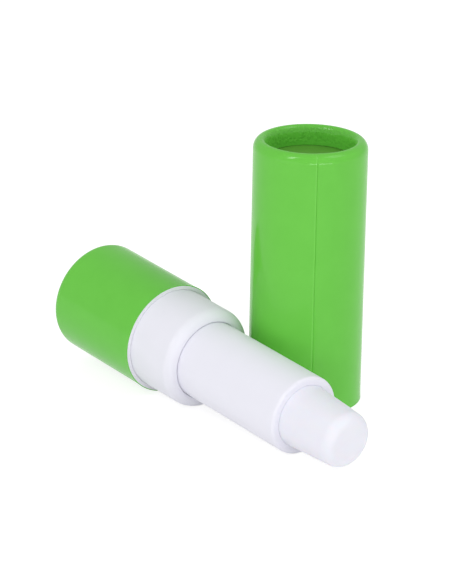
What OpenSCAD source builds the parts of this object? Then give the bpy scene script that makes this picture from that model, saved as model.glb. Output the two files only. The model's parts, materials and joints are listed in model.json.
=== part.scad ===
// Twist-up lip balm stick in rolled-edge paper tubes, with its cap taken off.
// The cap stands on its open end, closed end up. The stick lies beside it, nose down:
// it rests on the front edge of its base and on the lip of its barrel.
// The origin is the centre of the cap's open mouth, +Z is up, and the nose points to +X.
// Places along the stick are measured on its own axis, from the rear of the base.

/* [Paper tubes] */
// Radius of the wrapped tubes, outside
tube_r = 10; // [9.8:0.1:11]
// Thickness of the green paper wrap
wrap_t = 0.15; // [0.1:0.01:0.2]
// Wall of the card tubes under the wrap
tube_wall = 0.65; // [0.5:0.05:0.8]
// Gap between a tube's wall and its turned-in edge
fold_gap = 0.85; // [0.6:0.05:0.9]
// Width of the tight turn on the inner side of a rolled edge
turn_w = 0.55; // [0.4:0.05:0.7]
// Height of that turn
turn_h = 0.45; // [0.35:0.05:0.6]
// Length that the wrap stops short of a cut edge
wrap_setback = 0.05; // [0.03:0.01:0.1]
// Thickness of the card discs that close the tubes
disc_t = 1.2; // [0.8:0.1:1.6]
// Depth that a disc's edge beds into the tube's wall
disc_bite = 0.2; // [0.16:0.01:0.3]
// Width of the score line where the wrap's two edges meet
seam_w = 0.2; // [0.1:0.05:0.4]
// Depth of that score line
seam_depth = 0.08; // [0.04:0.01:0.09]

/* [Cap] */
// Length of the cap
cap_len = 47.5; // [46:0.5:55]
// Height over which the cap's closed edge rounds inwards
cap_round = 1.8; // [1.4:0.1:2.2]
// Depth of the cap's disc below its rolled edge
cap_recess = 3.5; // [3:0.1:5]
// Direction of the cap's wrap seam, in degrees from +X
cap_seam = -33.5; // [-60:0.5:0]

/* [Base] */
// Length of the base
base_len = 22.1; // [21:0.1:28]
// Height over which the base's rear edge rounds inwards
base_round = 1.6; // [1.2:0.1:1.8]
// Depth of the base's disc below its rolled edge
base_recess = 3.2; // [2.6:0.1:3.6]
// Direction of the base's wrap seam, in degrees round the stick
base_seam = -60; // [-90:1:-30]

/* [Neck] */
// Running clearance between the neck and the base's bore, each side
neck_fit = 0.05; // [0.03:0.01:0.08]
// Length of neck that stands out of the base
neck_out = 10.6; // [9:0.1:12]
// Wall of the neck's paper tube
neck_wall = 0.8; // [0.6:0.05:0.9]
// Length over which the neck's front edge rounds inwards
neck_round = 1.8; // [1.6:0.1:2.4]
// Depth of the neck's turned-in edge
neck_fold = 5; // [4:0.1:6]
// Clearance between the neck's turned-in edge and the barrel
neck_grip = 0.06; // [0.05:0.01:0.2]

/* [Barrel] */
// Radius of the barrel, outside
barrel_r = 7.05; // [6.9:0.05:7.1]
// Wall of the barrel
barrel_wall = 0.4; // [0.35:0.05:0.5]
// Length of barrel that stands out of the neck
barrel_out = 25.6; // [23:0.1:28]
// Thickness of the lip at the barrel's mouth
lip_t = 1.2; // [0.8:0.1:1.6]
// Outer rounding of that lip
lip_round = 0.6; // [0.4:0.1:1.2]

/* [Twist mechanism] */
// Running clearance between the moving sleeves, each side
run = 0.05; // [0.03:0.01:0.08]
// Wall of the cam sleeve
cam_wall = 0.5; // [0.4:0.05:0.55]
// Wall of the drive fork
fork_wall = 0.45; // [0.4:0.05:0.5]
// Rise of the balm for one turn
pitch = 12; // [10:0.5:16]
// Diameter of the lugs on the balm cup
lug_d = 1.4; // [1.2:0.1:1.6]
// Clearance between a lug and each side of its slots
lug_fit = 0.12; // [0.08:0.01:0.16]
// Thickness of the fork's foot plate
foot_t = 1.5; // [1.2:0.1:2]
// Height of the boss round the fork's foot
boss_h = 1.4; // [1:0.1:1.6]
// Height of the snap ridge on the fork
snap_h = 0.6; // [0.4:0.1:0.8]
// Height of that ridge above the fork's surface
snap_rise = 0.2; // [0.1:0.05:0.25]
// Clearance round the snap ridge in its groove
snap_fit = 0.1; // [0.08:0.01:0.15]

/* [Cup and balm] */
// Wall of the balm cup
cup_wall = 0.4; // [0.3:0.05:0.5]
// Depth of the cup
cup_depth = 9; // [8:0.5:10]
// Thickness of the cup's floor
cup_floor = 1; // [0.8:0.1:1.4]
// Width of the ribs that grip the balm in the cup
rib_w = 0.5; // [0.3:0.1:0.7]
// Depth of those ribs
rib_depth = 0.6; // [0.3:0.1:0.8]
// Height of those ribs
rib_h = 4.5; // [3:0.5:6]
// Length of the balm
balm_len = 34; // [32:0.5:36]
// Length of balm that stands out of the barrel
balm_out = 11.9; // [11:0.1:14]
// Length of the balm's tapered nose
nose_len = 12.7; // [11:0.1:15]
// Radius of the nose where its tip begins to round
nose_r = 5; // [4.7:0.05:5.3]
// Radius that rounds the edge of the tip
tip_round = 2; // [1.2:0.1:2.4]
// Depth of the tip inside the mouth when the balm is wound right down
park_depth = 1.3; // [0.8:0.1:2]
// Space between the cup and the barrel's lip when the balm is wound right up
top_gap = 0.6; // [0.4:0.1:1.2]

/* [Places] */
// Distance along the floor from the stick's rear to the cap's axis
cap_ahead = 37.6; // [36:0.1:40]
// Gap between the cap and the barrel beside it
cap_gap = 0.6; // [0.5:0.1:2]

/* [Hidden] */
$fn = 96;
eps = 0.01;
arc_steps = 16;
helix_step = 8;
sector_steps = 5;
sector_points = 2 * (sector_steps + 1);
lug_count = 2;
rib_count = 4;

wrap_green = [0.42, 0.77, 0.32];
card_white = [0.95, 0.95, 0.94];
moulded_white = [0.93, 0.93, 0.95];
balm_white = [0.94, 0.94, 0.96];

// Radii from the outside inwards
bore_r = tube_r - wrap_t - tube_wall;
hole_r = bore_r - fold_gap - tube_wall - wrap_t;
neck_r = bore_r - neck_fit;
neck_bore = neck_r - neck_wall;
neck_hole = barrel_r + neck_grip;
barrel_bore = barrel_r - barrel_wall;
cam_bore = barrel_bore - cam_wall;
fork_r = cam_bore - run;
fork_bore = fork_r - fork_wall;
cup_r = fork_bore - run;
cup_bore = cup_r - cup_wall;
mouth_r = fork_bore + run;

// Places along the stick
base_disc_s = base_recess + disc_t;
foot_s = base_disc_s + foot_t;
neck_s = foot_s + snap_h;
neck_front = base_len + neck_out;
fold_end = neck_front - neck_fold;
sleeve_s = foot_s + boss_h + snap_h;
barrel_front = neck_front + barrel_out;
lip_s = barrel_front - lip_t;
snap_s = sleeve_s + 2 * snap_h;

// The cup and balm as they are shown, and their travel
tip_s = barrel_front + balm_out;
cup_s = tip_s - balm_len - cup_floor;
lug_s = cup_s + cup_floor + lug_d / 2;
travel_down = balm_out + park_depth;
travel_up = lip_s - top_gap - (cup_s + cup_floor + cup_depth);
slot_low = lug_s - travel_down - lug_d / 2 - lug_fit;
slot_high = lug_s + travel_up + lug_d / 2 + lug_fit;
fork_front = slot_high + lug_d;
cam_front = fork_front + lug_d;
slot_w = lug_d + 2 * lug_fit;
turn_per_mm = 360 / pitch;

// How the stick lies: the line under the base's front edge and the barrel's lip is level
edge_s = base_len - wrap_setback;
lie_run = barrel_front - lip_round - edge_s;
lie_drop = tube_r - (barrel_r - lip_round);
tilt = atan2(lie_drop, lie_run) - asin(lip_round / norm([lie_run, lie_drop]));
rear_z = edge_s * sin(tilt) + tube_r * cos(tilt);
rear_y = -(tube_r + cap_gap + barrel_r);

// Points of an oval's arc, from one angle to another, with the first ones left out if asked
function oval(cx, cy, a, b, from, to, skip = 0) = [
    for (i = [skip:arc_steps])
        let (t = from + (to - from) * i / arc_steps)
        [cx + a * cos(t), cy + b * sin(t)]
];

// Surface of a rolled edge: a wide round outside, a crest, and a tight turn inside.
// With an inset it is the surface of what lies under a skin of that thickness.
function roll(outer, hole, round_h, top, inset = 0) = concat(
    oval(hole + turn_w, top - round_h, outer - hole - turn_w - inset, round_h - inset, 0, 90),
    oval(hole + turn_w, top - turn_h, turn_w - inset, turn_h - inset, 90, 180, 1)
);

// Half section of a tube whose top edge is rolled in and turned back down beside its wall.
// With an inset it lies under a skin of that thickness, and fits it face to face.
function rolled_section(outer, wall, hole, round_h, start, top, fold, inset = 0) =
    let (bore = outer - inset - wall, flap = hole + inset + wall)
    concat(
        [[bore, start], [outer - inset, start]],
        roll(outer, hole, round_h, top, inset),
        [[hole + inset, fold], [flap, fold]],
        oval((bore + flap) / 2, top - round_h, (bore - flap) / 2, round_h - inset - wall, 180, 0)
    );

// Half section of the skin that covers such a tube, from its cut edge to the end of its fold
function skin_section(outer, hole, round_h, start, top, fold, thickness) =
    let (under = roll(outer, hole, round_h, top, thickness))
    concat(
        [[outer - thickness, start], [outer, start]],
        roll(outer, hole, round_h, top),
        [[hole, fold], [hole + thickness, fold]],
        [for (i = [len(under) - 1:-1:0]) under[i]]
    );

// A ring between two radii
module ring(outer, inner, start, end) {
    translate([0, 0, start])
        difference() {
            cylinder(r = outer, h = end - start);
            translate([0, 0, -1]) cylinder(r = inner, h = end - start + 2);
        }
}

// Card tube of a wrapped piece, closed end at the top, with the bed that its disc presses in
module card_tube(length, round_h, recess) {
    top = length - recess;
    difference() {
        rotate_extrude()
            polygon(rolled_section(tube_r, tube_wall, hole_r, round_h, 0, length, top, wrap_t));
        ring(bore_r + disc_bite, bore_r - fold_gap / 2, top - disc_t, top);
    }
}

// Paper wrap over that tube, scored along its seam
module paper_wrap(length, round_h, recess, seam) {
    difference() {
        rotate_extrude()
            polygon(skin_section(tube_r, hole_r, round_h, wrap_setback, length, length - recess, wrap_t));
        rotate([0, 0, seam])
            translate([tube_r - seam_depth, -seam_w / 2, 0])
                cube([1, seam_w, length - round_h - seam_w]);
    }
}

// Card disc that closes a tube
module card_disc(top) {
    translate([0, 0, top - disc_t]) cylinder(r = bore_r + disc_bite, h = disc_t);
}

// Puts a piece drawn along +Z on the stick's own axis
module on_stick() {
    translate([-cap_ahead, rear_y, rear_z]) rotate([0, 90 + tilt, 0]) children();
}

// Turns a tube drawn with its closed end up, so that its closed end is the stick's rear
module rear_end() {
    on_stick() translate([0, 0, base_len]) rotate([180, 0, 0]) children();
}

// Sector of a ring, in plan
module sector(outer, inner, angle) {
    polygon(concat(
        [for (i = [0:sector_steps]) let (t = angle * (i / sector_steps - 0.5)) outer * [cos(t), sin(t)]],
        [for (i = [sector_steps:-1:0]) let (t = angle * (i / sector_steps - 0.5)) inner * [cos(t), sin(t)]]
    ));
}

// One helical slot for a lug, which rises by the pitch in each turn
module helical_slot() {
    height = slot_high - slot_low;
    rotate([0, 0, (slot_low - lug_s) * turn_per_mm])
        translate([0, 0, slot_low])
            linear_extrude(height = height, twist = -height * turn_per_mm,
                           slices = ceil(height * turn_per_mm / helix_step), $fn = sector_points)
                sector(barrel_bore + cam_wall / 2, cam_bore - cam_wall / 2,
                       slot_w * turn_per_mm);
}

// Places its children at each lug's angle
module at_lugs() {
    for (i = [0:lug_count - 1]) rotate([0, 0, i * 360 / lug_count]) children();
}

// Ribs inside the cup, which the balm is cast around
module grip_ribs() {
    for (i = [0:rib_count - 1])
        rotate([0, 0, (i + 0.5) * 360 / rib_count])
            translate([cup_bore - rib_depth, -rib_w / 2, cup_s + cup_floor - eps])
                cube([rib_depth + eps, rib_w, rib_h + eps]);
}

module cap_tube() {
    color(card_white) card_tube(cap_len, cap_round, cap_recess);
}

module cap_wrap() {
    color(wrap_green) paper_wrap(cap_len, cap_round, cap_recess, cap_seam);
}

module cap_disc() {
    color(wrap_green) card_disc(cap_len - cap_recess);
}

module base_tube() {
    color(card_white) rear_end() card_tube(base_len, base_round, base_recess);
}

module base_wrap() {
    color(wrap_green) rear_end() paper_wrap(base_len, base_round, base_recess, base_seam);
}

module base_disc() {
    color(wrap_green) rear_end() card_disc(base_len - base_recess);
}

// Two prongs on a foot plate that is glued into the base: they turn the cup by its lugs
module drive_fork() {
    color(moulded_white) on_stick() difference() {
        union() {
            translate([0, 0, base_disc_s]) cylinder(r = bore_r, h = foot_t);
            ring(barrel_bore, fork_bore, foot_s - eps, foot_s + boss_h);
            ring(fork_r, fork_bore, foot_s - eps, fork_front);
            rotate_extrude() polygon([
                [fork_r - eps, snap_s], [fork_r + snap_rise, snap_s],
                [fork_r + snap_rise, snap_s + snap_h / 2], [fork_r - eps, snap_s + snap_h],
            ]);
        }
        at_lugs()
            translate([fork_bore - 1, -slot_w / 2, slot_low])
                cube([fork_wall + 2, slot_w, fork_front]);
    }
}

module neck_tube() {
    color(card_white) on_stick() rotate_extrude()
        polygon(rolled_section(neck_r, neck_wall, neck_hole, neck_round, neck_s, neck_front, fold_end));
}

// Card tube that fills the space between the neck and the barrel
module spacer_tube() {
    color(card_white) on_stick() ring(neck_bore, barrel_r, sleeve_s, fold_end);
}

module barrel_shell() {
    color(moulded_white) on_stick() rotate_extrude() polygon(concat(
        [[barrel_bore, sleeve_s], [barrel_r, sleeve_s]],
        oval(barrel_r - lip_round, barrel_front - lip_round, lip_round, lip_round, 0, 90),
        [[mouth_r, barrel_front], [mouth_r, lip_s], [barrel_bore, lip_s]]
    ));
}

// Sleeve whose helical slots lift the lugs, with the groove that the fork's ridge snaps into
module cam_sleeve() {
    color(moulded_white) on_stick() difference() {
        ring(barrel_bore, cam_bore, sleeve_s, cam_front);
        ring(cam_bore + snap_rise + snap_fit - run, cam_bore - 1, snap_s - snap_fit, snap_s + snap_h + snap_fit);
        at_lugs() helical_slot();
    }
}

module balm_cup() {
    color(moulded_white) on_stick() {
        difference() {
            union() {
                translate([0, 0, cup_s]) cylinder(r = cup_r, h = cup_floor + cup_depth);
                at_lugs()
                    translate([cup_bore + cup_wall / 2, 0, lug_s]) rotate([0, 90, 0])
                        cylinder(d = lug_d, h = barrel_bore - 2 * run - cup_bore - cup_wall / 2);
            }
            translate([0, 0, cup_s + cup_floor]) cylinder(r = cup_bore, h = cup_depth + 1);
        }
        grip_ribs();
    }
}

module balm() {
    color(balm_white) on_stick() difference() {
        rotate_extrude() polygon(concat(
            [
                [0, cup_s + cup_floor], [cup_bore, cup_s + cup_floor],
                [cup_bore, cup_s + cup_floor + cup_depth], [cup_r, cup_s + cup_floor + cup_depth],
                [cup_r, tip_s - nose_len],
            ],
            oval(nose_r - tip_round, tip_s - tip_round, tip_round, tip_round, 0, 90),
            [[0, tip_s]]
        ));
        grip_ribs();
    }
}

cap_tube();
cap_wrap();
cap_disc();
base_tube();
base_wrap();
base_disc();
drive_fork();
neck_tube();
spacer_tube();
barrel_shell();
cam_sleeve();
balm_cup();
balm();
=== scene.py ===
"""Looks of a twist-up lip balm stick in rolled-edge paper tubes, with its cap standing beside it.

Every visible piece is turned from a half section on its own axis by one Geometry Nodes tree,
which also scores the wrap's seam, pleats the rolled paper edges and ripples soft surfaces.
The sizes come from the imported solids, and the finishes are procedural.
"""

from __future__ import annotations

import json
import logging
import math
from dataclasses import dataclass, field
from enum import Enum
from typing import Iterable, Sequence

import bpy
import numpy as np
from mathutils import Matrix, Vector


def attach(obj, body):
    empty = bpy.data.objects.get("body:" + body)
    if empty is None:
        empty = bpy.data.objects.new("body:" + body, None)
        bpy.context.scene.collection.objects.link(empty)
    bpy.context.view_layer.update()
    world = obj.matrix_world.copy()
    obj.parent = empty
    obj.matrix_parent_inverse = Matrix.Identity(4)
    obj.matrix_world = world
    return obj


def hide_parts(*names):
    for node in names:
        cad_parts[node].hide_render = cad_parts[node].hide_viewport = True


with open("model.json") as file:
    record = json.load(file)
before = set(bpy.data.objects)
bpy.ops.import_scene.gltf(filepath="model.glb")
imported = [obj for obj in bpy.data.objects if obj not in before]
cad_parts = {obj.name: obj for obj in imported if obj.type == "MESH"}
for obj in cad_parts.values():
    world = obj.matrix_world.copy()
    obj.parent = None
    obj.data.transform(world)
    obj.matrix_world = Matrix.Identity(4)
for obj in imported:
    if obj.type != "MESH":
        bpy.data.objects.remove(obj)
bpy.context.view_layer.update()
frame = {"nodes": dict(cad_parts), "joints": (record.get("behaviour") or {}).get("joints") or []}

LOG = logging.getLogger("lip_balm")
Socket = bpy.types.NodeSocket
MM = 0.001
PHOTO_SIZE = (452, 584)
# Attribute that carries a painted highlight beside the wrap's seam, for the lit side of the lap step
SEAM_HIGHLIGHT_MARK = "paper_edge"
CREASE_MARK = "creased"


class Surface(Enum):
    """Where on a section a point lies, which decides what the lathe does there."""

    CUT = "cut"
    WALL = "wall"
    ROLL = "roll"
    FOLD = "fold"
    INSIDE = "inside"


@dataclass(frozen=True)
class SectionPoint:
    """One point of a half section: radius and height in metres, with its surface and roll share."""

    radius: float
    height: float
    surface: Surface
    share: float = 0.0


SEAM_SHARE = {Surface.CUT: 0.0, Surface.WALL: 1.0, Surface.ROLL: 1.0, Surface.FOLD: 0.0, Surface.INSIDE: 0.0}


class Graph:
    """Adds nodes to one node tree and links them, so that trees read as formulas."""

    def __init__(self, tree: bpy.types.NodeTree) -> None:
        """Starts with an empty tree.

        Args:
            tree: The node tree to fill.
        """
        self.tree = tree
        tree.nodes.clear()

    def add(self, kind: str, inputs: dict | None = None, **settings: object) -> bpy.types.Node:
        """Adds one node.

        Args:
            kind: Blender's type name of the node.
            inputs: Values or sockets, by the name or index of the node's input.
            **settings: Properties of the node, set before its inputs.

        Returns:
            The new node.
        """
        node = self.tree.nodes.new(kind)
        for name, value in settings.items():
            setattr(node, name, value)
        for key, value in (inputs or {}).items():
            self.feed(node.inputs[key], value)
        return node

    def feed(self, socket: Socket, value: object) -> None:
        """Links a socket into an input, or sets the input's own value.

        Args:
            socket: The input.
            value: A socket to link from, or a plain value.
        """
        if isinstance(value, Socket):
            self.tree.links.new(value, socket)
        else:
            socket.default_value = value

    def math(self, operation: str, *values: object) -> Socket:
        """Adds a Math node and returns its result.

        Args:
            operation: Blender's name of the operation.
            *values: Its inputs in order.

        Returns:
            The result socket.
        """
        kind = "ShaderNodeMath"
        return self.add(kind, dict(enumerate(values)), operation=operation).outputs[0]

    def ramp(self, value: object, low: float | object, high: float | object,
             to_low: float = 0.0, to_high: float = 1.0) -> Socket:
        """Maps a value smoothly from one range to another.

        Args:
            value: The value to map.
            low: Start of its range.
            high: End of its range.
            to_low: Result at the start.
            to_high: Result at the end.

        Returns:
            The mapped value.
        """
        inputs = {0: value, 1: low, 2: high, 3: to_low, 4: to_high}
        return self.add("ShaderNodeMapRange", inputs, interpolation_type="SMOOTHSTEP").outputs[0]

    def noise(self, vector: object, scale: float | object, detail: float = 2.0,
              roughness: float = 0.5) -> Socket:
        """Adds three-dimensional noise.

        Args:
            vector: The coordinates.
            scale: Cells for each unit of them.
            detail: Number of finer layers.
            roughness: Weight of those layers.

        Returns:
            The noise, about 0 to 1.
        """
        inputs = {"Vector": vector, "Scale": scale, "Detail": detail, "Roughness": roughness}
        return self.add("ShaderNodeTexNoise", inputs).outputs[0]


def new_group(name: str, kind: str, inputs: Sequence[tuple[str, str, object]],
              outputs: Sequence[tuple[str, str]]) -> tuple[Graph, bpy.types.Node, bpy.types.Node]:
    """Makes a node group with named sockets.

    Args:
        name: The group's name.
        kind: The node tree's type.
        inputs: Name, socket type and default value of each input.
        outputs: Name and socket type of each output.

    Returns:
        The graph, its input node and its output node.
    """
    tree = bpy.data.node_groups.new(name, kind)
    for label, socket_type, value in inputs:
        socket = tree.interface.new_socket(name=label, in_out="INPUT", socket_type=socket_type)
        if value is not None:
            socket.default_value = value
    for label, socket_type in outputs:
        tree.interface.new_socket(name=label, in_out="OUTPUT", socket_type=socket_type)
    graph = Graph(tree)
    return graph, graph.add("NodeGroupInput"), graph.add("NodeGroupOutput")


def seen_by(graph: Graph, *rays: str) -> Socket:
    """Returns 1 where a ray is of one of these kinds, and 0 elsewhere.

    Args:
        graph: The graph to add it to.
        *rays: Outputs of the Light Path node.

    Returns:
        The mask.
    """
    path = graph.add("ShaderNodeLightPath")
    seen = path.outputs[rays[0]]
    for ray in rays[1:]:
        seen = graph.math("MAXIMUM", seen, path.outputs[ray])
    return seen


class Lathe:
    """Turns half sections into pieces with one Geometry Nodes tree."""

    FLOAT = "NodeSocketFloat"
    INPUTS = (
        ("Section", "NodeSocketObject", None),
        ("Rows", "NodeSocketInt", 2),
        ("Segments", "NodeSocketInt", 256),
        ("Seam Direction", FLOAT, 0.0),
        ("Seam Width", FLOAT, 0.0),
        ("Seam Depth", FLOAT, 0.0),
        ("Lap Height", FLOAT, 0.0),
        ("Lap Width", FLOAT, 1 * MM),
        ("Pleats", FLOAT, 100.0),
        ("Pleat Depth", FLOAT, 0.0),
        ("Ripple Size", FLOAT, 4 * MM),
        ("Ripple Depth", FLOAT, 0.0),
        ("Seed", FLOAT, 0.0),
        ("Material", "NodeSocketMaterial", None),
    )
    WELD = 0.0005 * MM
    SHARP_ANGLE = math.radians(38)
    WANDER_SIZE = 9 * MM
    WANDER = 0.06 * MM
    # The painted highlight beside the seam, for the lit side of the lap step, in widths of the seam: its
    # place, its full part and its end
    SEAM_HIGHLIGHT_PARTS = (0.8, 0.2, 0.6)
    # The share of the score that is full depth, and the power by which the seam fades over a roll
    SCORE_FLOOR = 0.3
    SEAM_FADE = 4
    PLEAT_LENGTH = 1.6 * MM
    PLEAT_WIDTH = 0.16
    PATCH_SCALE = 0.09
    PATCH_RANGE = (0.42, 0.62)
    PATCH_LEAST = 0.25
    RIPPLE_CREST = 0.8

    def __init__(self) -> None:
        """Builds the tree."""
        outputs = [("Geometry", "NodeSocketGeometry")]
        graph, self.enter, leave = new_group("lathe", "GeometryNodeTree", self.INPUTS, outputs)
        self.graph = graph
        self.tree = graph.tree
        grid, angle, row = self.grid()
        section = graph.add("GeometryNodeObjectInfo", {"Object": self.get("Section")},
                            transform_space="ORIGINAL").outputs["Geometry"]
        place = graph.add("GeometryNodeInputPosition").outputs[0]
        point = self.sample(section, place, row, "FLOAT_VECTOR")
        parts = graph.add("ShaderNodeSeparateXYZ", {0: point})
        radius, height = parts.outputs[0], parts.outputs[2]
        turned = self.turn(radius, height, angle)
        shaped = graph.add("GeometryNodeSetPosition", {"Geometry": grid, "Position": turned}).outputs[0]
        mapped = self.unwrap(shaped, section, angle, row)
        away = self.seam_distance(angle, radius, height)
        # Paints a paler green highlight beside the seam, for the lit side of the lap step
        marked = self.paint_seam_highlight(mapped, away, self.mark(section, "seam", row))
        creased = self.store(marked, CREASE_MARK, self.mark(section, "pleat", row))
        move = self.relief(section, row, angle, away)
        normal = graph.add("GeometryNodeInputNormal").outputs[0]
        offset = graph.add("ShaderNodeVectorMath", {0: normal, "Scale": move}, operation="SCALE").outputs[0]
        carved = graph.add("GeometryNodeSetPosition", {"Geometry": creased, "Offset": offset}).outputs[0]
        near = {"Geometry": carved, "Distance": self.WELD}
        welded = graph.add("GeometryNodeMergeByDistance", near).outputs[0]
        shading = {"Geometry": welded, "Shade Smooth": True}
        smooth = graph.add("GeometryNodeSetShadeSmooth", shading).outputs[0]
        real = graph.add("GeometryNodeRealizeInstances", {"Geometry": smooth}).outputs[0]
        inputs = {"Geometry": real, "Material": self.get("Material")}
        graph.feed(leave.inputs[0], graph.add("GeometryNodeSetMaterial", inputs).outputs[0])

    def get(self, name: str) -> Socket:
        """Returns the socket of one of the tree's named inputs."""
        return self.enter.outputs[name]

    def grid(self) -> tuple[Socket, Socket, Socket]:
        """Adds the flat grid that becomes the piece.

        Returns:
            The grid, the angle round the axis and the row's number as fields.
        """
        graph = self.graph
        across = graph.math("ADD", self.get("Segments"), 1)
        grid = graph.add("GeometryNodeMeshGrid", {"Vertices X": across, "Vertices Y": self.get("Rows")})
        parts = graph.add("ShaderNodeSeparateXYZ", {0: grid.outputs["UV Map"]})
        angle = graph.math("MULTIPLY", parts.outputs[0], math.tau)
        last = graph.math("SUBTRACT", self.get("Rows"), 1)
        row = graph.math("ROUND", graph.math("MULTIPLY", parts.outputs[1], last))
        return grid.outputs["Mesh"], angle, row

    def sample(self, section: Socket, value: Socket, row: Socket, data_type: str) -> Socket:
        """Reads a field of the section at each row.

        Args:
            section: The section's geometry.
            value: The field.
            row: The row's number.
            data_type: The field's type.

        Returns:
            The value at each row.
        """
        inputs = {"Geometry": section, "Value": value, "Index": row}
        return self.graph.add("GeometryNodeSampleIndex", inputs, data_type=data_type).outputs[0]

    def mark(self, section: Socket, name: str, row: Socket) -> Socket:
        """Reads one of the section's named marks at each row.

        Args:
            section: The section's geometry.
            name: The mark's name.
            row: The row's number.

        Returns:
            The mark's value.
        """
        named = self.graph.add("GeometryNodeInputNamedAttribute", {"Name": name}, data_type="FLOAT")
        return self.sample(section, named.outputs[0], row, "FLOAT")

    def turn(self, radius: Socket, height: Socket, angle: Socket) -> Socket:
        """Returns the place of a point of the section, turned to an angle round the axis."""
        graph = self.graph
        x = graph.math("MULTIPLY", radius, graph.math("COSINE", angle))
        y = graph.math("MULTIPLY", radius, graph.math("SINE", angle))
        return graph.add("ShaderNodeCombineXYZ", {0: x, 1: y, 2: height}).outputs[0]

    def unwrap(self, mesh: Socket, section: Socket, angle: Socket, row: Socket) -> Socket:
        """Stores a UV map in metres: round the piece, then along its section.

        Args:
            mesh: The turned mesh.
            section: The section's geometry.
            angle: The angle round the axis.
            row: The row's number.

        Returns:
            The mesh with its map.
        """
        graph = self.graph
        across = graph.math("MULTIPLY", angle, self.mark(section, "girth", row))
        along = self.mark(section, "run", row)
        pair = graph.add("ShaderNodeCombineXYZ", {0: across, 1: along}).outputs[0]
        inputs = {"Geometry": mesh, "Name": "UVMap", "Value": pair}
        node = graph.add("GeometryNodeStoreNamedAttribute", inputs, data_type="FLOAT2", domain="CORNER")
        return node.outputs[0]

    def relief(self, section: Socket, row: Socket, angle: Socket, away: Socket) -> Socket:
        """Works out how far each point moves along its normal.

        Args:
            section: The section's geometry.
            row: The row's number.
            angle: The angle round the axis.
            away: The distance round the piece from its seam.

        Returns:
            The distance in metres.
        """
        graph = self.graph
        seam = graph.math("MULTIPLY", self.seam(away), self.mark(section, "seam", row))
        pleats = graph.math("MULTIPLY", self.pleats(angle, section, row), self.mark(section, "pleat", row))
        ripple = graph.math("MULTIPLY", self.ripple(), self.mark(section, "ripple", row))
        return graph.math("ADD", graph.math("ADD", seam, pleats), ripple)

    def seam_distance(self, angle: Socket, radius: Socket, height: Socket) -> Socket:
        """Works out how far round the piece a point lies from the seam, which wanders a little.

        Args:
            angle: The angle round the axis.
            radius: The point's radius.
            height: The point's height on the axis.

        Returns:
            The distance in metres, from minus to plus half the girth.
        """
        graph = self.graph
        turn = graph.math("SUBTRACT", angle, self.get("Seam Direction"))
        wrapped = graph.math("ARCTAN2", graph.math("SINE", turn), graph.math("COSINE", turn))
        along = graph.add("ShaderNodeCombineXYZ", {0: self.get("Seed"), 2: height}).outputs[0]
        drift = graph.math("SUBTRACT", graph.noise(along, 1 / self.WANDER_SIZE), 0.5)
        return graph.math("MULTIPLY_ADD", wrapped, radius, graph.math("MULTIPLY", drift, 2 * self.WANDER))

    def paint_seam_highlight(self, mesh: Socket, away: Socket, share: Socket) -> Socket:
        """Stores how much painted highlight, for the lit side of the lap step, shows beside the seam.

        Args:
            mesh: The mesh to store it on.
            away: The distance from the seam.
            share: How much of the seam the row has.

        Returns:
            The mesh with its attribute.
        """
        graph = self.graph
        width = self.get("Seam Width")
        place, core, fade = (graph.math("MULTIPLY", width, part) for part in self.SEAM_HIGHLIGHT_PARTS)
        edge = graph.math("ABSOLUTE", graph.math("ADD", away, place))
        light = graph.ramp(edge, core, fade, 1.0, 0.0)
        return self.store(mesh, SEAM_HIGHLIGHT_MARK, graph.math("MULTIPLY", light, share))

    def store(self, mesh: Socket, name: str, value: Socket) -> Socket:
        """Stores a number on each point for the material.

        Args:
            mesh: The mesh to store it on.
            name: The attribute's name.
            value: The number.

        Returns:
            The mesh with its attribute.
        """
        inputs = {"Geometry": mesh, "Name": name, "Value": value}
        node = self.graph.add("GeometryNodeStoreNamedAttribute", inputs, data_type="FLOAT", domain="POINT")
        return node.outputs[0]

    def seam(self, away: Socket) -> Socket:
        """Works out the wrap's seam: a score line, and the lap beside it that fades away.

        Args:
            away: The distance round the piece from its seam.

        Returns:
            The distance in metres.
        """
        graph = self.graph
        half = graph.math("MULTIPLY", self.get("Seam Width"), 0.5)
        full = graph.math("MULTIPLY", half, self.SCORE_FLOOR)
        score = graph.ramp(graph.math("ABSOLUTE", away), full, half, 1.0, 0.0)
        score = graph.math("MULTIPLY", score, self.get("Seam Depth"))
        lap = graph.ramp(away, 0.0, self.get("Lap Width"), 1.0, 0.0)
        lap = graph.math("MULTIPLY", lap, graph.math("GREATER_THAN", away, 0.0))
        lap = graph.math("MULTIPLY", graph.math("SUBTRACT", lap, 1.0), self.get("Lap Height"))
        return graph.math("SUBTRACT", lap, score)

    def pleats(self, angle: Socket, section: Socket, row: Socket) -> Socket:
        """Works out the fine gathers of paper that is rolled to a smaller girth.

        Args:
            angle: The angle round the axis.
            section: The section's geometry.
            row: The row's number.

        Returns:
            The distance in metres.
        """
        graph = self.graph
        reach = graph.math("DIVIDE", self.get("Pleats"), math.tau)
        x = graph.math("MULTIPLY", graph.math("COSINE", angle), reach)
        y = graph.math("MULTIPLY", graph.math("SINE", angle), reach)
        z = graph.math("DIVIDE", self.mark(section, "run", row), self.PLEAT_LENGTH)
        z = graph.math("ADD", z, self.get("Seed"))
        spot = graph.add("ShaderNodeCombineXYZ", {0: x, 1: y, 2: z}).outputs[0]
        fold = graph.math("ABSOLUTE", graph.math("SUBTRACT", graph.noise(spot, 1.0, 1.0), 0.5))
        ridge = graph.math("SUBTRACT", graph.ramp(fold, 0.0, self.PLEAT_WIDTH), 1.0)
        patch = graph.ramp(graph.noise(spot, self.PATCH_SCALE, 0.0), *self.PATCH_RANGE, self.PATCH_LEAST, 1.0)
        return graph.math("MULTIPLY", graph.math("MULTIPLY", ridge, patch), self.get("Pleat Depth"))

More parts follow.
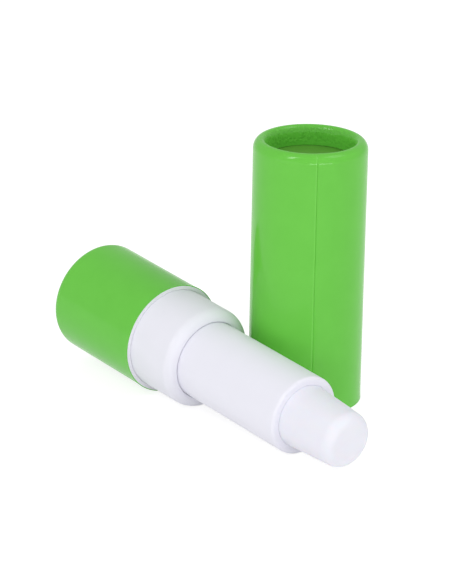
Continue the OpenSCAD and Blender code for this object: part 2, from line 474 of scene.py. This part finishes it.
    def ripple(self) -> Socket:
        """Works out the slight unevenness of a soft surface.

        Returns:
            The distance in metres.
        """
        graph = self.graph
        place = graph.add("GeometryNodeInputPosition").outputs[0]
        shift = graph.add("ShaderNodeCombineXYZ", {0: self.get("Seed")}).outputs[0]
        spot = graph.add("ShaderNodeVectorMath", {0: place, 1: shift}, operation="ADD").outputs[0]
        scale = graph.math("DIVIDE", 1.0, self.get("Ripple Size"))
        wave = graph.math("SUBTRACT", graph.noise(spot, scale, 1.0), self.RIPPLE_CREST)
        return graph.math("MULTIPLY", wave, self.get("Ripple Depth"))

    def make(self, name: str, section: Sequence[SectionPoint], axis: "Axis", material: bpy.types.Material,
             closed: bool = True, **sizes: float) -> bpy.types.Object:
        """Turns one section into a plain mesh on its axis.

        Args:
            name: The piece's name.
            section: The half section's points, in the order that keeps the material on their left.
            axis: The axis that the piece is turned on.
            material: The finish.
            closed: Whether the last point joins the first.
            **sizes: Other inputs of the tree, named with underscores.

        Returns:
            The piece.
        """
        points = list(section) + ([section[0]] if closed else [])
        profile = self.profile(name, points)
        carrier = bpy.data.objects.new(name + "_lathe", bpy.data.meshes.new(name + "_lathe"))
        bpy.context.scene.collection.objects.link(carrier)
        modifier = carrier.modifiers.new("lathe", "NODES")
        modifier.node_group = self.tree
        identifiers = {item.name: item.identifier for item in self.tree.interface.items_tree
                       if item.item_type == "SOCKET" and item.in_out == "INPUT"}
        values = {"Section": profile, "Rows": len(points), "Material": material}
        values.update({key.replace("_", " ").title(): value for key, value in sizes.items()})
        for label, value in values.items():
            modifier[identifiers[label]] = value
        evaluated = carrier.evaluated_get(bpy.context.evaluated_depsgraph_get())
        mesh = bpy.data.meshes.new_from_object(evaluated)
        for helper in (carrier, profile):
            bpy.data.objects.remove(helper)
        mesh.name = name
        mesh.transform(axis.matrix)
        mesh.set_sharp_from_angle(angle=self.SHARP_ANGLE)
        piece = bpy.data.objects.new(name, mesh)
        bpy.context.scene.collection.objects.link(piece)
        return piece

    @staticmethod
    def profile(name: str, points: Sequence[SectionPoint]) -> bpy.types.Object:
        """Makes the mesh of loose points that carries a section and its marks.

        Args:
            name: The piece's name.
            points: The section's points.

        Returns:
            An object that the tree reads.
        """
        mesh = bpy.data.meshes.new(name + "_section")
        mesh.from_pydata([(p.radius, 0.0, p.height) for p in points], [], [])
        steps = [math.dist((a.radius, a.height), (b.radius, b.height)) for a, b in zip(points, points[1:])]
        girth = max(p.radius for p in points)
        marks = {
            "run": np.concatenate([[0.0], np.cumsum(steps)]),
            "girth": [girth for _ in points],
            "seam": [SEAM_SHARE[p.surface] * (1 - p.share) ** Lathe.SEAM_FADE for p in points],
            "pleat": [p.share if p.surface in (Surface.ROLL, Surface.FOLD) else 0.0 for p in points],
            "ripple": [float(p.surface in (Surface.WALL, Surface.ROLL)) for p in points],
        }
        for label, values in marks.items():
            column = mesh.attributes.new(label, "FLOAT", "POINT").data
            column.foreach_set("value", np.array(values, np.float32))
        return bpy.data.objects.new(name + "_section", mesh)


@dataclass(frozen=True)
class Extent:
    """How far a solid reaches on an axis: along it, and away from it."""

    start: float
    end: float
    inner: float
    outer: float


@dataclass(frozen=True)
class Axis:
    """A line that pieces are turned on, with the matrix that puts them there."""

    matrix: Matrix

    @classmethod
    def along(cls, origin: Iterable[float], direction: Iterable[float]) -> "Axis":
        """Makes an axis from a point and a direction.

        Args:
            origin: The point from which heights are measured.
            direction: The way in which they grow.

        Returns:
            The axis. Its first side lies in the plane of the direction and +Z.
        """
        forward = Vector(direction).normalized()
        side = Vector((0, 1, 0))
        low = side.cross(forward).normalized()
        turn = Matrix((low, side, forward)).transposed().to_4x4()
        return cls(Matrix.Translation(Vector(origin)) @ turn)

    def reach(self, node: str) -> Extent:
        """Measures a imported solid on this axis.

        Args:
            node: The node's name.

        Returns:
            Its extent in metres.
        """
        mesh = frame["nodes"][node].data
        places = np.empty(3 * len(mesh.vertices), np.float32)
        mesh.vertices.foreach_get("co", places)
        local = np.array(self.matrix.inverted())
        places = places.reshape(-1, 3) @ local[:3, :3].T + local[:3, 3]
        away = np.hypot(places[:, 0], places[:, 1])
        ends = (places[:, 2].min(), places[:, 2].max(), away.min(), away.max())
        return Extent(*(float(value) for value in ends))


def oval(centre: tuple[float, float], half: tuple[float, float], turn: tuple[float, float],
         steps: int) -> list[tuple[float, float]]:
    """Returns the points of an oval's arc.

    Args:
        centre: The oval's centre, as radius and height.
        half: Its half widths.
        turn: The first and the last angle, in degrees.
        steps: The number of steps between them.

    Returns:
        The points, both ends among them.
    """
    angles = [math.radians(turn[0] + (turn[1] - turn[0]) * i / steps) for i in range(steps + 1)]
    return [(centre[0] + half[0] * math.cos(t), centre[1] + half[1] * math.sin(t)) for t in angles]


def climb(radius: float, start: float, end: float, surface: Surface, steps: int) -> list[SectionPoint]:
    """Returns the inner points of a straight wall, without its ends.

    Args:
        radius: The wall's radius.
        start: Its first height.
        end: Its last height.
        surface: What the wall is.
        steps: The number of steps along it.

    Returns:
        The points.
    """
    heights = [start + (end - start) * i / steps for i in range(1, steps)]
    return [SectionPoint(radius, height, surface) for height in heights]


def face(surface: Surface, *places: tuple[float, float]) -> list[SectionPoint]:
    """Returns section points that lie on one kind of surface.

    Args:
        surface: What they lie on.
        *places: The radius and height of each.

    Returns:
        The points.
    """
    return [SectionPoint(radius, height, surface) for radius, height in places]


@dataclass(frozen=True)
class Roll:
    """A rolled-in edge: a wide round outside, a crest, and a tight turn down into the hole."""

    outer: float
    hole: float
    top: float
    round_height: float
    turn_width: float = 0.55 * MM
    turn_height: float = 0.45 * MM
    steps: int = 22
    fold_steps: int = 8

    @property
    def shoulder(self) -> float:
        """Height at which the wall begins to round."""
        return self.top - self.round_height

    def surface(self, inset: float = 0.0) -> list[tuple[float, float]]:
        """Returns the roll's surface from the wall over its crest to the hole.

        Args:
            inset: The thickness of the skin that it lies under.

        Returns:
            The points, as radius and height.
        """
        crest = self.hole + self.turn_width
        wide = oval((crest, self.shoulder), (self.outer - crest - inset, self.round_height - inset), (0, 90),
                    self.steps)
        tight = oval((crest, self.top - self.turn_height),
                     (self.turn_width - inset, self.turn_height - inset), (90, 180), self.steps)
        return wide + tight[1:]

    def skin(self, start: float, fold: float, thickness: float, wall_steps: int) -> list[SectionPoint]:
        """Returns the half section of the paper on the outside of the roll and its wall.

        Args:
            start: Height of the paper's cut edge.
            fold: Height at which the turned-in paper ends.
            thickness: The paper's thickness.
            wall_steps: The number of steps along the wall.

        Returns:
            The section's points.
        """
        points = face(Surface.CUT, (self.outer - thickness, start), (self.outer, start))
        points += self.faced(start, fold, 0.0, wall_steps)
        back = reversed(self.surface(thickness))
        return points + face(Surface.INSIDE, (self.hole + thickness, fold), *back)

    def tube(self, start: float, fold: float, wall: float, inset: float,
             wall_steps: int) -> list[SectionPoint]:
        """Returns the half section of the tube whose edge is rolled, with the space inside the roll.

        Args:
            start: Height of the tube's cut edge.
            fold: Height at which the turned-in edge ends.
            wall: The tube's wall.
            inset: The thickness of the skin over it.
            wall_steps: The number of steps along the wall.

        Returns:
            The section's points.
        """
        bore = self.outer - inset - wall
        flap = self.hole + inset + wall
        points = self.faced(start, fold, inset, wall_steps)
        middle, half = (bore + flap) / 2, (bore - flap) / 2
        space = oval((middle, self.shoulder), (half, self.round_height - inset - wall), (180, 0), self.steps)
        return points + face(Surface.INSIDE, (flap, fold), *space)

    def faced(self, start: float, fold: float, inset: float, wall_steps: int) -> list[SectionPoint]:
        """Returns the outer face: up the wall, over the roll and down to the end of the fold.

        Args:
            start: Height at which the wall begins.
            fold: Height at which the turned-in edge ends.
            inset: The thickness of the skin over it.
            wall_steps: The number of steps along the wall.

        Returns:
            The points, with the share of pleats that each one has.
        """
        outer = self.outer - inset
        heights = [start + (self.shoulder - start) * i / wall_steps for i in range(1, wall_steps)]
        points = [SectionPoint(outer, height, Surface.WALL) for height in heights]
        arc = self.surface(inset)
        last = len(arc) - 1
        points += [SectionPoint(r, h, Surface.ROLL, (i / last) ** 2) for i, (r, h) in enumerate(arc)]
        hole, turned = arc[-1]
        for i in range(1, self.fold_steps + 1):
            down = i / self.fold_steps
            points.append(SectionPoint(hole, turned + (fold - turned) * down, Surface.FOLD, 1 - down))
        return points


class PaperGrain:
    """The shader node group for paper: mottled tint, fibre height and uneven gloss."""

    @staticmethod
    def build() -> bpy.types.NodeTree:
        """Makes the group once.

        Returns:
            The node tree.
        """
        inputs = [("Fibre Size", "NodeSocketFloat", 0.2 * MM), ("Mottle Size", "NodeSocketFloat", 4 * MM),
                  ("Gloss", "NodeSocketFloat", 0.4), ("Gloss Change", "NodeSocketFloat", 0.05)]
        outputs = [(label, "NodeSocketFloat") for label in ("Mottle", "Height", "Roughness")]
        graph, enter, leave = new_group("paper_grain", "ShaderNodeTree", inputs, outputs)
        spot = graph.add("ShaderNodeTexCoord").outputs["Object"]
        fibre = graph.math("DIVIDE", 1.0, enter.outputs["Fibre Size"])
        mottle = graph.math("DIVIDE", 1.0, enter.outputs["Mottle Size"])
        strands = graph.noise(spot, fibre, 3.0, 0.65)
        patches = graph.noise(spot, mottle, 3.0, 0.55)
        change = graph.math("MULTIPLY", graph.math("SUBTRACT", patches, 0.5), enter.outputs["Gloss Change"])
        graph.feed(leave.inputs["Mottle"], graph.ramp(patches, 0.25, 0.75))
        graph.feed(leave.inputs["Height"], strands)
        graph.feed(leave.inputs["Roughness"], graph.math("ADD", enter.outputs["Gloss"], change))
        return graph.tree


@dataclass(frozen=True)
class Finish:
    """A procedural finish: two close tints, gloss and a fine grain."""

    name: str
    tint: tuple[float, float, float]
    deep: tuple[float, float, float]
    roughness: float
    fibre: float = 0.2 * MM
    mottle: float = 4 * MM
    gloss_change: float = 0.06
    bump: float = 0.1
    bump_height: float = 0.02 * MM
    specular: float = 0.5
    coat: float = 0.0
    coat_roughness: float = 0.2
    subsurface: float = 0.0
    # Paler tint painted beside the seam as a highlight for the lit side of the lap step
    seam_highlight_tint: tuple[float, float, float] | None = None
    crease_height: float = 0.0
    crease_size: float = 0.6 * MM

    def build(self, grain: bpy.types.NodeTree) -> bpy.types.Material:
        """Makes the material.

        Args:
            grain: The paper_grain node group.

        Returns:
            The material.
        """
        material = bpy.data.materials.new(self.name)
        material.use_nodes = True
        graph = Graph(material.node_tree)
        inputs = {"Fibre Size": self.fibre, "Mottle Size": self.mottle, "Gloss": self.roughness,
                  "Gloss Change": self.gloss_change}
        group = graph.add("ShaderNodeGroup", inputs, node_tree=grain)
        colour = graph.add("ShaderNodeMix", {0: group.outputs["Mottle"]}, data_type="RGBA")
        colour.inputs[6].default_value = (*self.deep, 1)
        colour.inputs[7].default_value = (*self.tint, 1)
        base = colour.outputs[2]
        # Painted highlight: a paler green beside the seam stands for the lit side of the lap step
        if self.seam_highlight_tint:
            edge = graph.add("ShaderNodeAttribute", attribute_name=SEAM_HIGHLIGHT_MARK).outputs["Fac"]
            pale = graph.add("ShaderNodeMix", {0: edge, 6: base}, data_type="RGBA")
            pale.inputs[7].default_value = (*self.seam_highlight_tint, 1)
            base = pale.outputs[2]
        bump = graph.add("ShaderNodeBump", {"Strength": self.bump, "Distance": self.bump_height,
                                            "Height": group.outputs["Height"]})
        normal = bump.outputs[0]
        if self.crease_height:
            share = graph.add("ShaderNodeAttribute", attribute_name=CREASE_MARK).outputs["Fac"]
            spot = graph.add("ShaderNodeTexCoord").outputs["Object"]
            creases = graph.math("SUBTRACT", graph.noise(spot, 1 / self.crease_size, 1.0, 0.5), 0.5)
            ends = graph.math("MULTIPLY", share, graph.math("SUBTRACT", 1.0, share))
            height = graph.math("MULTIPLY", graph.math("MULTIPLY", ends, share), creases)
            crumple = graph.add("ShaderNodeBump", {"Distance": self.crease_height, "Height": height,
                                                   "Normal": normal})
            normal = crumple.outputs[0]
        shader = graph.add("ShaderNodeBsdfPrincipled", {
            "Base Color": base, "Roughness": group.outputs["Roughness"], "Normal": normal,
            "Specular IOR Level": self.specular, "Coat Weight": self.coat,
            "Coat Roughness": self.coat_roughness})
        if self.subsurface:
            shader.inputs["Subsurface Weight"].default_value = self.subsurface
            shader.inputs["Subsurface Scale"].default_value = 1 * MM
        graph.add("ShaderNodeOutputMaterial", {"Surface": shader.outputs[0]})
        return material


# The wrap's seam tint paints a highlight beside the seam, for the lit side of the lap step
GREEN_WRAP = Finish("green_wrap", tint=(0.143, 0.565, 0.059), deep=(0.136, 0.550, 0.055), roughness=0.42,
                    specular=0.05, coat=0.5, coat_roughness=0.11, bump=0.12, seam_highlight_tint=(0.175, 0.62, 0.08),
                    crease_height=1.6 * MM)
GREEN_CARD = Finish("green_card", tint=(0.105, 0.335, 0.034), deep=(0.098, 0.318, 0.031), roughness=0.6,
                    specular=0.3)
CARD = Finish("card", tint=(0.84, 0.835, 0.89), deep=(0.81, 0.805, 0.86), roughness=0.8, bump=0.35,
              fibre=0.12 * MM, mottle=1.2 * MM)
NECK_PAPER = Finish("neck_paper", tint=(0.835, 0.832, 0.905), deep=(0.82, 0.818, 0.89), roughness=0.5,
                    bump=0.12)
MOULDED = Finish("moulded_plastic", tint=(0.84, 0.835, 0.915), deep=(0.835, 0.83, 0.91), roughness=0.42,
                 fibre=0.6 * MM, bump=0.03)
BALM = Finish("balm", tint=(0.835, 0.835, 0.91), deep=(0.825, 0.825, 0.90), roughness=0.5, fibre=0.5 * MM,
              bump=0.1, subsurface=0.15)


@dataclass
class Workshop:
    """What every sub-assembly is made with: the lathe, the finishes and the two axes."""

    lathe: Lathe
    materials: dict[str, bpy.types.Material]
    upright: Axis
    lying: Axis

    def fit(self, piece: bpy.types.Object, body: str, slot: str, *nodes: str) -> None:
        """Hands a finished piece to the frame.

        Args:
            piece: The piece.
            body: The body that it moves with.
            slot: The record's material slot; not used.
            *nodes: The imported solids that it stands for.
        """
        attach(piece, body)
        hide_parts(*nodes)
        LOG.info("%s: %d faces on body %s", piece.name, len(piece.data.polygons), body)

    def dress(self, node: str, finish: str) -> None:
        """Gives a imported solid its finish.

        Args:
            node: The node's name.
            finish: The finish's name.
        """
        slots = frame["nodes"][node].material_slots
        for slot in slots:
            slot.material = self.materials[finish]
        LOG.info("%s: dressed as %s", node, finish)


@dataclass
class PaperTube:
    """A card tube in green paper, with one edge rolled in over a sunk disc: the cap, or the base."""

    name: str
    body: str
    axis: Axis
    round_height: float
    seam_direction: float
    turn_width: float = 1.0 * MM
    turn_height: float = 1.8 * MM
    card_wall: float = 0.65 * MM
    ply_groove: float = 0.035 * MM
    ply_count: int = 3
    ply_steps: int = 3
    segments: int = 720
    seam_width: float = 0.22 * MM
    seam_depth: float = 0.10 * MM
    lap_height: float = 0.035 * MM
    lap_width: float = 5 * MM
    pleats: float = 150.0
    pleat_depth: float = 0.07 * MM
    ripple_size: float = 9 * MM
    ripple_depth: float = 0.03 * MM
    disc_edge: float = 0.15 * MM
    disc_dish: float = 0.12 * MM
    disc_steps: int = 24
    seed: float = 1.0

    def build(self, shop: Workshop) -> None:
        """Makes the wrap, the card tube and the disc.

        Args:
            shop: What the pieces are made with.
        """
        wrap = self.axis.reach(self.name + "_wrap")
        core = self.axis.reach(self.name + "_tube")
        disc = self.axis.reach(self.name + "_disc")
        wrap_t = wrap.outer - core.outer
        roll = Roll(wrap.outer, wrap.inner, wrap.end, self.round_height, self.turn_width, self.turn_height)
        piece = shop.lathe.make(
            self.name + "_paper", roll.skin(wrap.start, disc.end, wrap_t, 40), self.axis,
            shop.materials["green_wrap"], segments=self.segments, seam_direction=self.seam_direction,
            seam_width=self.seam_width, seam_depth=self.seam_depth, lap_height=self.lap_height,
            lap_width=self.lap_width, pleats=self.pleats, pleat_depth=self.pleat_depth,
            ripple_size=self.ripple_size, ripple_depth=self.ripple_depth, seed=self.seed)
        shop.fit(piece, self.body, "green_wrap", self.name + "_wrap")
        points = self.plies(core) + roll.tube(core.start, disc.end, self.card_wall, wrap_t, 6)
        piece = shop.lathe.make(self.name + "_card", points, self.axis, shop.materials["card"], segments=256,
                                seed=self.seed)
        shop.fit(piece, self.body, "card", self.name + "_tube")
        self.disc(shop, disc)

    def plies(self, core: Extent) -> list[SectionPoint]:
        """Returns the cut edge, with a fine groove between its paper plies.

        Args:
            core: The card tube's extent.

        Returns:
            The points from the bore to the outside.
        """
        steps = self.ply_count * self.ply_steps
        step = self.card_wall / steps
        bore = core.outer - self.card_wall
        points = []
        for i in range(steps + 1):
            grooved = 0 < i < steps and i % self.ply_steps == 0
            height = core.start + (self.ply_groove if grooved else 0.0)
            points.append(SectionPoint(bore + i * step, height, Surface.CUT))
        return points

    def disc(self, shop: Workshop, reach: Extent) -> None:
        """Makes the sunk card disc, slightly dished, with a soft edge.

        Args:
            shop: What the piece is made with.
            reach: The disc's extent.
        """
        edge = self.disc_edge
        flat = reach.outer - edge
        points = face(Surface.CUT, (0, reach.start), (reach.outer, reach.start))
        points += face(Surface.INSIDE, *oval((flat, reach.end - edge), (edge, edge), (0, 90), 6))
        for i in range(1, self.disc_steps + 1):
            share = 1 - i / self.disc_steps
            sag = self.disc_dish * (1 - share ** 4)
            points.append(SectionPoint(flat * share, reach.end - sag, Surface.INSIDE))
        piece = shop.lathe.make(self.name + "_end", points, self.axis, shop.materials["green_card"],
                                closed=False, segments=192, seed=self.seed)
        shop.fit(piece, self.body, "green_card", self.name + "_disc")


@dataclass
class Neck:
    """The white paper neck, whose front edge rolls in against the barrel."""

    round_height: float = 1.8 * MM
    turn_width: float = 0.25 * MM
    turn_height: float = 0.15 * MM
    wall: float = 0.8 * MM
    fold_depth: float = 5 * MM
    pleats: float = 120.0
    pleat_depth: float = 0.03 * MM

    def build(self, shop: Workshop) -> None:
        """Makes the neck and dresses the card tube inside it.

        Args:
            shop: What the pieces are made with.
        """
        reach = shop.lying.reach("neck_tube")
        roll = Roll(reach.outer, reach.inner, reach.end, self.round_height, self.turn_width, self.turn_height)
        points = face(Surface.CUT, (reach.outer - self.wall, reach.start), (reach.outer, reach.start))
        points += roll.tube(reach.start, reach.end - self.fold_depth, self.wall, 0.0, 12)
        piece = shop.lathe.make("neck_paper", points, shop.lying, shop.materials["neck_paper"],
                                segments=512, pleats=self.pleats, pleat_depth=self.pleat_depth, seed=5.0)
        shop.fit(piece, "neck", "neck_paper", "neck_tube")
        shop.dress("spacer_tube", "card")


@dataclass
class Barrel:
    """The white moulded barrel with its rounded lip, and the cam sleeve inside it."""

    wall: float = 0.4 * MM
    lip: float = 1.2 * MM
    lip_round: float = 0.6 * MM
    mouth_round: float = 0.05 * MM
    play: float = 0.01 * MM

    def build(self, shop: Workshop) -> None:
        """Makes the barrel and dresses the sleeve.

        Args:
            shop: What the pieces are made with.
        """
        reach = shop.lying.reach("barrel_shell")
        bore = reach.outer - self.wall
        mouth_r = shop.lying.reach("balm").outer + self.play
        front = reach.end
        points = face(Surface.CUT, (bore, reach.start), (reach.outer, reach.start))
        points += climb(reach.outer, reach.start, front - self.lip_round, Surface.INSIDE, 30)
        lip = oval((reach.outer - self.lip_round, front - self.lip_round), (self.lip_round, self.lip_round),
                   (0, 90), 16)
        mouth = oval((mouth_r + self.mouth_round, front - self.mouth_round),
                     (self.mouth_round, self.mouth_round), (90, 180), 6)
        points += face(Surface.INSIDE, *lip, *mouth, (mouth_r, front - self.lip), (bore, front - self.lip))
        piece = shop.lathe.make("barrel", points, shop.lying, shop.materials["moulded_plastic"], segments=320,
                                seed=7.0)
        shop.fit(piece, "neck", "moulded_plastic", "barrel_shell")
        shop.dress("cam_sleeve", "moulded_plastic")
        shop.dress("drive_fork", "moulded_plastic")


@dataclass
class BalmStick:
    """The cast balm in its cup."""

    nose_length: float = 12 * MM
    nose_radius: float = 5 * MM
    tip_round: float = 2 * MM
    grip: float = 0.65 * MM
    ripple_size: float = 5 * MM
    ripple_depth: float = 0.06 * MM
    nose_steps: int = 24
    tip_steps: int = 12

    def build(self, shop: Workshop) -> None:
        """Makes the balm and dresses its cup.

        Args:
            shop: What the pieces are made with.
        """
        reach = shop.lying.reach("balm")
        cup = shop.lying.reach("balm_cup")
        slug = reach.outer
        core = cup.inner if cup.inner > self.grip else slug - 2 * self.grip
        tip = reach.end
        shoulder = tip - self.nose_length
        crown = tip - self.tip_round
        points = face(Surface.CUT, (0, reach.start), (core, reach.start), (core, cup.end), (slug, cup.end))
        points += climb(slug, cup.end, shoulder, Surface.INSIDE, 8)
        for i in range(self.nose_steps):
            share = i / self.nose_steps
            radius = slug + (self.nose_radius - slug) * share
            height = shoulder + (crown - shoulder) * share
            points.append(SectionPoint(radius, height, Surface.WALL if i else Surface.INSIDE))
        flat = self.nose_radius - self.tip_round
        points += face(Surface.WALL, *oval((flat, crown), (self.tip_round, self.tip_round), (0, 90), 20))
        for i in range(1, self.tip_steps + 1):
            points.append(SectionPoint(flat * (1 - i / self.tip_steps), tip, Surface.WALL))
        piece = shop.lathe.make("balm_stick", points, shop.lying, shop.materials["balm"], closed=False,
                                segments=256, ripple_size=self.ripple_size, ripple_depth=self.ripple_depth,
                                seed=3.0)
        shop.fit(piece, "cup", "balm", "balm")
        shop.dress("balm_cup", "moulded_plastic")


@dataclass(frozen=True)
class Lamp:
    """A soft rectangular studio lamp aimed at the object."""

    name: str
    place: tuple[float, float, float]
    size: tuple[float, float]
    power: float

    def build(self, target: Vector) -> None:
        """Places the lamp.

        Args:
            target: The point that it faces.
        """
        data = bpy.data.lights.new(self.name, "AREA")
        data.shape = "RECTANGLE"
        data.size, data.size_y = self.size
        data.energy = self.power
        lamp = bpy.data.objects.new(self.name, data)
        lamp.visible_camera = False
        lamp.location = self.place
        lamp.rotation_euler = (target - Vector(self.place)).to_track_quat("-Z", "Y").to_euler()
        bpy.context.scene.collection.objects.link(lamp)


@dataclass
class Studio:
    """The white sweep, the lamps and the camera."""

    camera_place: tuple[float, float, float] = (0.39875, -0.34741, 0.21207)
    heading: float = 50.467
    pitch: float = 20.052
    roll: float = -1.026
    focal_pixels: float = 3213.1
    sensor_width: float = 36.0
    clip: tuple[float, float] = (0.01, 20.0)
    target: tuple[float, float, float] = (0.0, -0.01, 0.02)
    horizon: float = 0.76
    zenith: float = 0.60
    zenith_height: float = 0.9
    floor_reach: float = 3.0
    floor_white: float = 0.92
    floor_glow: float = 0.84
    shadow_share: float = 0.36
    lamps: tuple[Lamp, ...] = field(default_factory=lambda: (
        Lamp("left_box", (0.035, -0.575, 0.644), (0.17, 0.36), 1.42),
        Lamp("right_box", (0.397, 0.287, 0.755), (0.40, 0.40), 1.12),
        Lamp("front_strip", (0.55, -0.20, 0.03), (0.50, 0.06), 0.64),
        Lamp("low_strip", (0.05, -0.60, 0.05), (0.60, 0.16), 0.20),
    ))

    def build(self) -> None:
        """Sets up the whole studio."""
        bpy.context.scene.view_settings.view_transform = "Standard"
        self.world()
        self.floor()
        for lamp in self.lamps:
            lamp.build(Vector(self.target))
        self.camera()

    def world(self) -> None:
        """Makes a white surround that is brightest at eye level, and pure white to the camera."""
        world = bpy.data.worlds.new("surround")
        world.use_nodes = True
        bpy.context.scene.world = world
        graph = Graph(world.node_tree)
        look = graph.add("ShaderNodeTexCoord").outputs["Generated"]
        up = graph.add("ShaderNodeSeparateXYZ", {0: look}).outputs[2]
        light = graph.ramp(graph.math("ABSOLUTE", up), 0.0, self.zenith_height, self.horizon, self.zenith)
        seen = seen_by(graph, "Is Camera Ray", "Is Transmission Ray")
        unseen = graph.math("SUBTRACT", 1.0, seen)
        strength = graph.math("ADD", graph.math("MULTIPLY", light, unseen), seen)
        back = graph.add("ShaderNodeBackground", {"Color": (1, 1, 1, 1), "Strength": strength})
        graph.add("ShaderNodeOutputWorld", {"Surface": back.outputs[0]})

    def floor(self) -> None:
        """Lays a white floor that shows as the white page, with the object's own shadow on it."""
        mesh = bpy.data.meshes.new("floor")
        far = self.floor_reach
        mesh.from_pydata([(-far, -far, 0), (far, -far, 0), (far, far, 0), (-far, far, 0)], [], [(0, 1, 2, 3)])
        floor = bpy.data.objects.new("floor", mesh)
        bpy.context.scene.collection.objects.link(floor)
        material = bpy.data.materials.new("page")
        material.use_nodes = True
        graph = Graph(material.node_tree)
        seen = seen_by(graph, "Is Camera Ray", "Is Transmission Ray", "Is Glossy Ray")
        colour = graph.add("ShaderNodeMix", {0: seen}, data_type="RGBA")
        white, faint = self.floor_white, self.floor_white * self.shadow_share
        colour.inputs[6].default_value = (white, white, white, 1)
        colour.inputs[7].default_value = (faint, faint, faint, 1)
        matte = graph.add("ShaderNodeBsdfDiffuse", {"Color": colour.outputs[2]})
        glow = graph.add("ShaderNodeEmission", {"Strength": graph.math("MULTIPLY", seen, self.floor_glow)})
        total = graph.add("ShaderNodeAddShader", {0: matte.outputs[0], 1: glow.outputs[0]})
        graph.add("ShaderNodeOutputMaterial", {"Surface": total.outputs[0]})
        mesh.materials.append(material)

    def camera(self) -> None:
        """Places the camera as the photograph was taken."""
        heading, pitch, roll = (math.radians(v) for v in (self.heading, self.pitch, self.roll))
        ahead = Vector((-math.sin(heading) * math.cos(pitch), math.cos(heading) * math.cos(pitch),
                        -math.sin(pitch)))
        right = Vector((math.cos(heading), math.sin(heading), 0))
        down = ahead.cross(right)
        rolled = right * math.cos(roll) + down * math.sin(roll)
        down = down * math.cos(roll) - right * math.sin(roll)
        data = bpy.data.cameras.new("camera")
        data.sensor_width = self.sensor_width
        data.lens = self.focal_pixels * data.sensor_width / max(PHOTO_SIZE)
        data.clip_start, data.clip_end = self.clip
        camera = bpy.data.objects.new("camera", data)
        turn = Matrix((rolled, -down, -ahead)).transposed().to_4x4()
        camera.matrix_world = Matrix.Translation(Vector(self.camera_place)) @ turn
        bpy.context.scene.collection.objects.link(camera)
        bpy.context.scene.camera = camera


def main() -> None:
    """Builds the studio and every piece in order."""
    logging.basicConfig(level=logging.INFO, format="%(name)s %(message)s")
    Studio().build()
    grain = PaperGrain.build()
    finishes = (GREEN_WRAP, GREEN_CARD, CARD, NECK_PAPER, MOULDED, BALM)
    joints = {joint["name"]: joint for joint in frame["joints"]}
    twist = joints["neck_twist"]
    upright = Axis.along((0, 0, 0), (0, 0, 1))
    lying = Axis.along(twist["pos_m"], twist["axis"])
    shop = Workshop(Lathe(), {finish.name: finish.build(grain) for finish in finishes}, upright, lying)
    base_length = lying.reach("base_tube").end
    rear = Axis.along(lying.matrix @ Vector((0, 0, base_length)), -Vector(twist["axis"]))
    PaperTube("cap", "cap", upright, round_height=1.8 * MM, seam_direction=math.radians(-33.5),
              seed=1.0).build(shop)
    PaperTube("base", "base", rear, round_height=1.6 * MM, seam_direction=math.radians(120),
              seed=2.0).build(shop)
    Neck().build(shop)
    Barrel().build(shop)
    BalmStick().build(shop)


if __name__ == "__main__":
    main()
